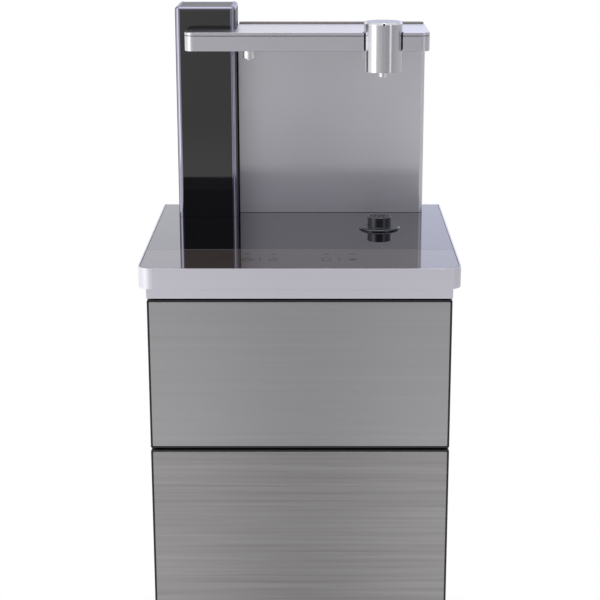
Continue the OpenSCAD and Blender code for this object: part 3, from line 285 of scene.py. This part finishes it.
# The touch strip: smoky glass over a brushed dark foil, whose level lines show as fine warm streaks.
def touch_strip_glass():
    made, tree = new_material("smoky_touch_glass")
    lines = grain(tree, (130, 0.9, 5), detail=4.0, rough=0.7)
    colour = blend_colour(tree, span(tree, lines, 0, 1, 0.28), "#2b2623", "#564e4a")
    shader = add(tree, "ShaderNodeBsdfPrincipled", {
        "Base Color": colour, "Metallic": 0.0, "Roughness": span(tree, lines, 0.03, 0.07, ROUGH_SPREAD),
        **GLASS_GLOSS})
    add(tree, "ShaderNodeOutputMaterial", {"Surface": shader.outputs[0]})
    return made


TOUCH_GLASS = touch_strip_glass()


# Finishes of the model's own nodes, and the width in mm of the soft edge that each gets
FINISHES = {
    "counter_band": (FRAME_ALUMINIUM, 0.4), "counter_frame": (FRAME_ALUMINIUM, 0.9),
    "counter_glass": (BLACK_GLASS, 0.3), "touch_glass": (TOUCH_GLASS, 0.3),
    "counter_tray": (BLACK_ABS, 0.4), "touch_board": (SOLDER_MASK, 0),
    "tower_panel": (TOWER_STEEL, 0.3), "tower_rear_cover": (SHELL_ABS, 0.6),
    "column_shell": (PIANO_BLACK, 0.5), "column_cap": (PIANO_BLACK, 0.9),
    "arm_housing": (ARM_ALUMINIUM, 1.4), "arm_cover": (ARM_ALUMINIUM, 1.7),
    "arm_bracket": (ZINC_STEEL, 0.4),
    "tap_body": (TAP_STEEL, 0.9), "tap_cap": (CROWN_STEEL_PAINTED_SHADE, 0.3), "tap_indicator": (GLOSS_BLACK_ABS, 0.2),
    "tap_nozzle": (CHROME, 0.9), "side_nozzle": (CHROME, 0.9),
    "coupler_flange": (GLOSS_BLACK_ABS, 1.0), "coupler_post": (GLOSS_BLACK_ABS, 0.4),
    "coupler_contacts": (CONTACT_METAL, 0.1),
    "tap_riser": (SILICONE, 0), "cold_riser": (SILICONE, 0),
    "kettle_pump": (BLACK_ABS, 0.6), "cold_pump": (BLACK_ABS, 0.6),
    "cold_tank": (TANK_STEEL, 0.8), "tank_insulation": (FOAM, 1.0), "peltier_module": (CERAMIC, 0.2),
    "heat_sink": (SINK_ALUMINIUM, 0.2), "fan_housing": (BLACK_ABS, 0.4), "fan_rotor": (BLACK_ABS, 0.3),
    "power_board": (SOLDER_MASK, 0.2), "cord_gland": (BLACK_ABS, 0.4), "switch_housings": (BLACK_ABS, 0.4),
    "hot_rocker": (RED_PLASTIC, 0.3), "cold_rocker": (BLUE_PLASTIC, 0.3), "suction_fitting": (NYLON, 0.3),
    "base_tray": (GREY_ABS, 0.5), "bottle_platform": (WHITE_ABS, 0.8), "feet": (RUBBER, 1.5),
    "foot_screws": (ZINC_STEEL, 0.2), "rear_screws": (ZINC_STEEL, 0.2),
    "left_side_panel": (DARK_POWDER_COAT, 0.4), "right_side_panel": (DARK_POWDER_COAT, 0.4),
    "rear_panel": (DARK_POWDER_COAT, 0.3), "divider_shelf": (ZINC_STEEL, 0.4),
    "upper_liner": (WHITE_ABS, 0.8), "hinge_brackets": (ZINC_STEEL, 0.2), "door_magnets": (BLACK_ABS, 0.5),
    "upper_door_frame": (BLACK_ABS, 0.5), "lower_door_frame": (BLACK_ABS, 0.5),
    "upper_door_face": (UPPER_DOOR_STEEL, 0.25), "lower_door_face": (LOWER_DOOR_STEEL_PAINTED_SHADE, 0.25),
    "upper_door_inner": (WHITE_POWDER_COAT, 0.6), "lower_door_inner": (WHITE_POWDER_COAT, 0.6),
    "upper_door_bushes": (NYLON, 0.2), "lower_door_bushes": (NYLON, 0.2),
    "upper_door_gasket": (RUBBER, 0.6), "lower_door_gasket": (RUBBER, 0.6),
}
FLAT_ANGLE = math.radians(0.2)
EDGE_ANGLE = math.radians(32)
EDGE_SEGMENTS = 3


def soften(node, width):
    """Joins a node's loose triangles into clean faces and rounds its edges by width."""
    weld = node.modifiers.new("join", "WELD")
    weld.merge_threshold = NEAR
    flat = node.modifiers.new("flat faces", "DECIMATE")
    flat.decimate_type = "DISSOLVE"
    flat.angle_limit = FLAT_ANGLE
    if width:
        edge = node.modifiers.new("soft edges", "BEVEL")
        edge.width = width * MM
        edge.segments = EDGE_SEGMENTS
        edge.limit_method = "ANGLE"
        edge.angle_limit = EDGE_ANGLE
        edge.use_clamp_overlap = True
    even = node.modifiers.new("even shading", "WEIGHTED_NORMAL")
    even.keep_sharp = True


for node_name, (finish, edge_width) in FINISHES.items():
    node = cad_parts[node_name]
    node.data.materials.clear()
    node.data.materials.append(finish)
    soften(node, edge_width)


# Modelling helpers: sizes in mm, in the model's frame
SMOOTH_ANGLE = math.radians(35)
UPWARD = 0.99            # the least Z of the normal of a face that looks straight up


def round_edges(bm, edges, radius, segments=6):
    """Rounds edges by a radius in mm."""
    bmesh.ops.bevel(bm, geom=edges, offset=radius * MM, offset_type="OFFSET", affect="EDGES",
                    segments=segments, profile=0.5, material=-1)


def level_edges(bm, z):
    """The edges that lie at a height in mm."""
    return [e for e in bm.edges if all(abs(v.co.z - z * MM) < NEAR for v in e.verts)]


def board(lo, hi, corner, top=0.0, bottom=0.0, segments=6):
    """A block between two points, with rounded upright corners, top rim and bottom rim."""
    bm = bmesh.new()
    lo, hi = Vector(lo) * MM, Vector(hi) * MM
    place = Matrix.Translation((lo + hi) / 2) @ Matrix.Diagonal((*(hi - lo), 1.0))
    bmesh.ops.create_cube(bm, size=1.0, matrix=place)
    round_edges(bm, [e for e in bm.edges if abs(e.verts[0].co.z - e.verts[1].co.z) > NEAR], corner, segments)
    for z, radius in ((hi.z, top), (lo.z, bottom)):
        if radius:
            round_edges(bm, level_edges(bm, z / MM), radius, segments)
    return bm


def top_face(bm):
    """The level face that looks up from the greatest height."""
    return max((f for f in bm.faces if f.normal.z > UPWARD), key=lambda f: f.calc_center_median().z)


def piece(name, bm, materials, body="root", nodes=()):
    """Turns a modelled form into a piece that rides on a body and stands for the nodes it replaces."""
    bmesh.ops.remove_doubles(bm, verts=bm.verts, dist=NEAR / 10)
    bmesh.ops.recalc_face_normals(bm, faces=bm.faces)
    mesh = bpy.data.meshes.new(name)
    bm.to_mesh(mesh)
    bm.free()
    for material in materials:
        mesh.materials.append(material)
    mesh.shade_smooth()
    mesh.set_sharp_from_angle(angle=SMOOTH_ANGLE)
    made = bpy.data.objects.new(name, mesh)
    scene.collection.objects.link(made)
    even = made.modifiers.new("even shading", "WEIGHTED_NORMAL")
    even.keep_sharp = True
    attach(made, body)
    if nodes:
        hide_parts(*nodes)


# Column: one lacquered moulding. Its edges are rounder than the model's plain block and carry a painted
# highlight, and a satin lid is let into the top. Sizes in mm.
COLUMN_CORNER = 7.0
COLUMN_TOP = 4.6
COLUMN_SEGMENTS = 10
RIM_W = 1.2
LID_STEP = 0.5
LID_DEPTH = 0.7
# Faces of its upright edges turn from the front by these angles: plain up to the first, painted highlight up
# to the second, satin past it. A face whose normal rises by more than TOP_SHINE gets the painted highlight of
# the top edge.
FRONT_END = 1
EDGE_SHINE = 52
TOP_SHINE = 0.03


def column():
    shell_lo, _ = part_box("column_shell")
    _, cap_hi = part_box("column_cap")
    finishes = (PIANO_BLACK, PAINTED_HIGHLIGHT_BLACK, SATIN_BLACK)
    painted_highlight, satin = finishes.index(PAINTED_HIGHLIGHT_BLACK), finishes.index(SATIN_BLACK)
    bm = board(shell_lo / MM, cap_hi / MM, corner=COLUMN_CORNER, top=COLUMN_TOP, segments=COLUMN_SEGMENTS)
    bm.normal_update()
    # The faces that turn toward the lamps get the painted highlight, a lighter and more mirror-like copy of
    # the acrylic.
    for face in bm.faces:
        aside = math.degrees(math.atan2(abs(face.normal.x), -face.normal.y))
        if face.normal.z > TOP_SHINE or FRONT_END < aside < EDGE_SHINE:
            face.material_index = painted_highlight
        elif aside >= EDGE_SHINE:
            face.material_index = satin
    lid = top_face(bm)
    bmesh.ops.inset_region(bm, faces=[lid], thickness=RIM_W * MM)
    bmesh.ops.inset_region(bm, faces=[lid], thickness=LID_STEP * MM, depth=-LID_DEPTH * MM)
    lid.material_index = satin
    piece("column_moulding", bm, finishes,
          nodes=("column_shell", "column_cap"))


column()


# Seam seal: a rubber strip with a round nose that closes the gap between the column and the tower.
# Sizes in mm.
SEAL_SIDE = 0.15         # clear of the column and of the tower
SEAL_END = 0.4           # short of the panel at the top and the bottom
SEAL_INSET = 1.2         # behind the panel's front
SEAL_REACH = 30          # past the panel's back
SEAL_NOSE = 0.75
SEAL_RIM = 0.3
SEAL_SEGMENTS = 4


def seam_seal():
    panel_lo, panel_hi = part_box("tower_panel")
    _, column_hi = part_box("column_shell")
    lo = Vector((column_hi.x / MM + SEAL_SIDE, panel_lo.y / MM + SEAL_INSET, panel_lo.z / MM + SEAL_END))
    hi = Vector((panel_lo.x / MM - SEAL_SIDE, panel_hi.y / MM + SEAL_REACH, panel_hi.z / MM - SEAL_END))
    bm = board(lo, hi, corner=SEAL_NOSE, top=SEAL_RIM, bottom=SEAL_RIM, segments=SEAL_SEGMENTS)
    piece("seam_seal", bm, (RUBBER,))


seam_seal()


# Prints on the touch strip: a dash over each key, a plain icon under it, and a divider between pairs.
# Sizes in mm.
INK_T = 0.04
INK_LINE = 1.7
KEYS_X = (-68, -34, 34, 68)
DIVIDERS_X = (-51, 51)
DASH_Y = -116
ICON_Y = -145
BAR_ROUND = 0.45         # the rounding of a bar's ends, as a share of its width
BAR_SEGMENTS = 3
RING_SEGMENTS = 32


def bar(bm, x, y, width, depth, turn=0.0):
    """Adds a flat bar with rounded ends to the prints, turned about its middle."""
    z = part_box("touch_glass")[1].z + INK_T * MM / 2
    place = (Matrix.Translation((x * MM, y * MM, z)) @ Matrix.Rotation(math.radians(turn), 4, "Z")
             @ Matrix.Diagonal((width * MM, depth * MM, INK_T * MM, 1.0)))
    made = bmesh.ops.create_cube(bm, size=1.0, matrix=place)["verts"]
    edges = {e for v in made for e in v.link_edges if abs(e.verts[0].co.z - e.verts[1].co.z) > NEAR}
    round_edges(bm, list(edges), min(width, depth) * BAR_ROUND, BAR_SEGMENTS)


def ring(bm, x, y, radius, stretch=1.0):
    """Adds a flat ring to the prints; stretch pulls its far point out to a drop."""
    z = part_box("touch_glass")[1].z + INK_T * MM
    made = bmesh.ops.create_circle(bm, cap_ends=True, segments=RING_SEGMENTS, radius=radius * MM,
                                   matrix=Matrix.Translation((x * MM, y * MM, z)))["verts"]
    tip = max(made, key=lambda v: v.co.y)
    tip.co.y += radius * (stretch - 1.0) * MM
    disc = next(f for f in tip.link_faces)
    bmesh.ops.inset_region(bm, faces=[disc], thickness=INK_LINE * MM, use_boundary=True)
    bmesh.ops.delete(bm, geom=[disc], context="FACES_ONLY")


def touch_prints():
    bm = bmesh.new()
    for x in KEYS_X:
        bar(bm, x, DASH_Y, 7.5, 4.0)
    for x in DIVIDERS_X:
        bar(bm, x, ICON_Y, 1.4, 16)
    kettle, drop, cup, cold = KEYS_X
    ring(bm, kettle, ICON_Y - 2, 6.5)
    bar(bm, kettle, ICON_Y + 7.5, 9, INK_LINE)
    bar(bm, kettle + 8, ICON_Y + 1, INK_LINE, 8, -20)
    ring(bm, drop, ICON_Y - 2, 6, 1.9)
    for side in (-1, 1):
        bar(bm, cup + side * 5, ICON_Y - 1, INK_LINE, 13, side * -10)
        bar(bm, cup + side * 2, ICON_Y + 9, 1.4, 4)
    bar(bm, cup, ICON_Y - 7.5, 8, INK_LINE)
    for turn in (0, 60, 120):
        bar(bm, cold, ICON_Y - 1, 14, 1.6, turn)
    piece("touch_prints", bm, (TOUCH_INK,))


touch_prints()


# Light and background
# The world is a white studio whose walls and reflectors differ by direction, as polished metal and glass
# show them; it is dimmest over the camera. What the camera sees of it is plain white.
WHITE = (1.0, 1.0, 1.0, 1.0)
COOL_WHITE = (1.0, 1.03, 1.24, 1.0)

world = bpy.data.worlds.new("studio")
scene.world = world
world.use_nodes = True
sky = world.node_tree
sky.nodes.clear()
toward = add(sky, "ShaderNodeSeparateXYZ", {0: add(sky, "ShaderNodeTexCoord").outputs["Generated"]})


def glow(axis, start, end, colour_in, colour):
    """Blends the light toward another colour as the direction along an axis goes from start to end."""
    part = add(sky, "ShaderNodeMapRange", {"Value": toward.outputs[axis], "From Min": start, "From Max": end},
               interpolation_type="SMOOTHSTEP")
    return add(sky, "ShaderNodeMix", {0: part.outputs["Result"], 6: colour_in, 7: colour},
               data_type="RGBA").outputs[2]


light = glow("Z", 0.05, 0.17, rgb("#bfbec6"), rgb("#67666c"))     # the dim room over the camera
light = glow("Y", -0.92, -0.72, light, rgb("#c6c6cc"))            # the sides of the room
light = glow("X", 0.40, 0.66, light, rgb("#d4d5e0"))              # the right-hand reflector
light = glow("X", 0.70, 0.90, light, rgb("#abacb8"))              # the darker room past it
light = glow("X", -0.40, -0.75, light, rgb("#f6f6f6"))            # the left-hand soft light
light = glow("Y", 0.10, 0.40, light, rgb("#cbcbd5"))              # the sides of the background
background = glow("X", -0.04, 0.09, rgb("#f8f8ff"), COOL_WHITE)   # the white background behind
light = glow("Y", 0.55, 0.95, light, background)
light = glow("Z", 0.45, 0.85, light, rgb("#f0f0f4"))              # the white ceiling
rays = add(sky, "ShaderNodeLightPath")
seen = add(sky, "ShaderNodeMix", {0: rays.outputs["Is Camera Ray"], 6: light, 7: WHITE},
           data_type="RGBA")
add(sky, "ShaderNodeOutputWorld",
    {"Surface": add(sky, "ShaderNodeBackground", {"Color": seen.outputs[2], "Strength": 1.0}).outputs[0]})


# The floor: pale where the object stands, fading to the plain white background for what the camera
# and polished surfaces see. The fade runs between these distances from the middle, in metres.
FADE_START, FADE_END = 0.30, 0.62
FLOOR_R = 14.0


def floor_material():
    made, tree = new_material("pale_floor")
    pale = add(tree, "ShaderNodeBsdfDiffuse", {"Color": rgb("#e6e6e8")})
    place = add(tree, "ShaderNodeTexCoord").outputs["Object"]
    axes = add(tree, "ShaderNodeSeparateXYZ", {0: place}).outputs
    across = add(tree, "ShaderNodeMath", {0: axes["X"]}, operation="ABSOLUTE").outputs[0]
    dim = 1.0
    for value, start, end, low, high in (
            (axes["Y"], -1.5, -5.5, 0.95, 0.55),      # in front it falls off to the unlit part of the room
            (across, 0.03, 0.24, 0.58, 1.0),          # a dimmer stripe straight in front of the object
            (axes["X"], 0.6, 2.4, 1.0, 0.66),         # dimmer to the right
            (axes["X"], -0.6, -2.0, 1.0, 1.25)):      # a little brighter to the left
        part = add(tree, "ShaderNodeMapRange", {"Value": value, "From Min": start, "From Max": end,
                                                "To Min": low, "To Max": high}).outputs["Result"]
        dim = add(tree, "ShaderNodeMath", {0: dim, 1: part}, operation="MULTIPLY").outputs[0]
    path = add(tree, "ShaderNodeLightPath")
    level = add(tree, "ShaderNodeMath", {0: dim, 1: path.outputs["Is Camera Ray"]}, operation="MAXIMUM")
    white = add(tree, "ShaderNodeEmission", {"Color": WHITE, "Strength": level.outputs[0]})
    away = add(tree, "ShaderNodeVectorMath", {0: place}, operation="LENGTH").outputs["Value"]
    fade = add(tree, "ShaderNodeMapRange", {"Value": away, "From Min": FADE_START, "From Max": FADE_END},
               interpolation_type="SMOOTHSTEP").outputs["Result"]
    polished = add(tree, "ShaderNodeMath", {0: path.outputs["Is Glossy Ray"],
                                            1: path.outputs["Is Transmission Ray"]}, operation="MAXIMUM")
    clean = add(tree, "ShaderNodeMath", {0: path.outputs["Is Camera Ray"], 1: polished.outputs[0]},
                operation="MAXIMUM")
    factor = add(tree, "ShaderNodeMath", {0: fade, 1: clean.outputs[0]}, operation="MULTIPLY").outputs[0]
    both = add(tree, "ShaderNodeMixShader", {0: factor, 1: pale.outputs[0], 2: white.outputs[0]})
    add(tree, "ShaderNodeOutputMaterial", {"Surface": both.outputs[0]})
    return made


def floor():
    bm = bmesh.new()
    bmesh.ops.create_circle(bm, cap_ends=True, segments=64, radius=FLOOR_R)
    mesh = bpy.data.meshes.new("floor")
    bm.to_mesh(mesh)
    bm.free()
    mesh.materials.append(floor_material())
    made = bpy.data.objects.new("floor", mesh)
    scene.collection.objects.link(made)


floor()


def soft_box(name, at, aim, size, power):
    """A rectangular lamp at a place, turned to a point; size in metres, power in watts."""
    lamp = bpy.data.lights.new(name, "AREA")
    lamp.shape = "RECTANGLE"
    lamp.size, lamp.size_y = size
    lamp.energy = power
    made = bpy.data.objects.new(name, lamp)
    made.location = at
    made.rotation_euler = (Vector(at) - Vector(aim)).to_track_quat("Z", "Y").to_euler()
    scene.collection.objects.link(made)


soft_box("left_soft_box", (-2.3, -1.4, 1.5), (0, 0, 0.8), (1.5, 2.4), 15)
soft_box("right_soft_box", (1.8, -1.8, 1.5), (0, 0, 0.8), (0.4, 2.2), 2.5)
soft_box("top_soft_box", (0, -0.7, 3.0), (0, 0, 1.0), (1.8, 1.0), 10)
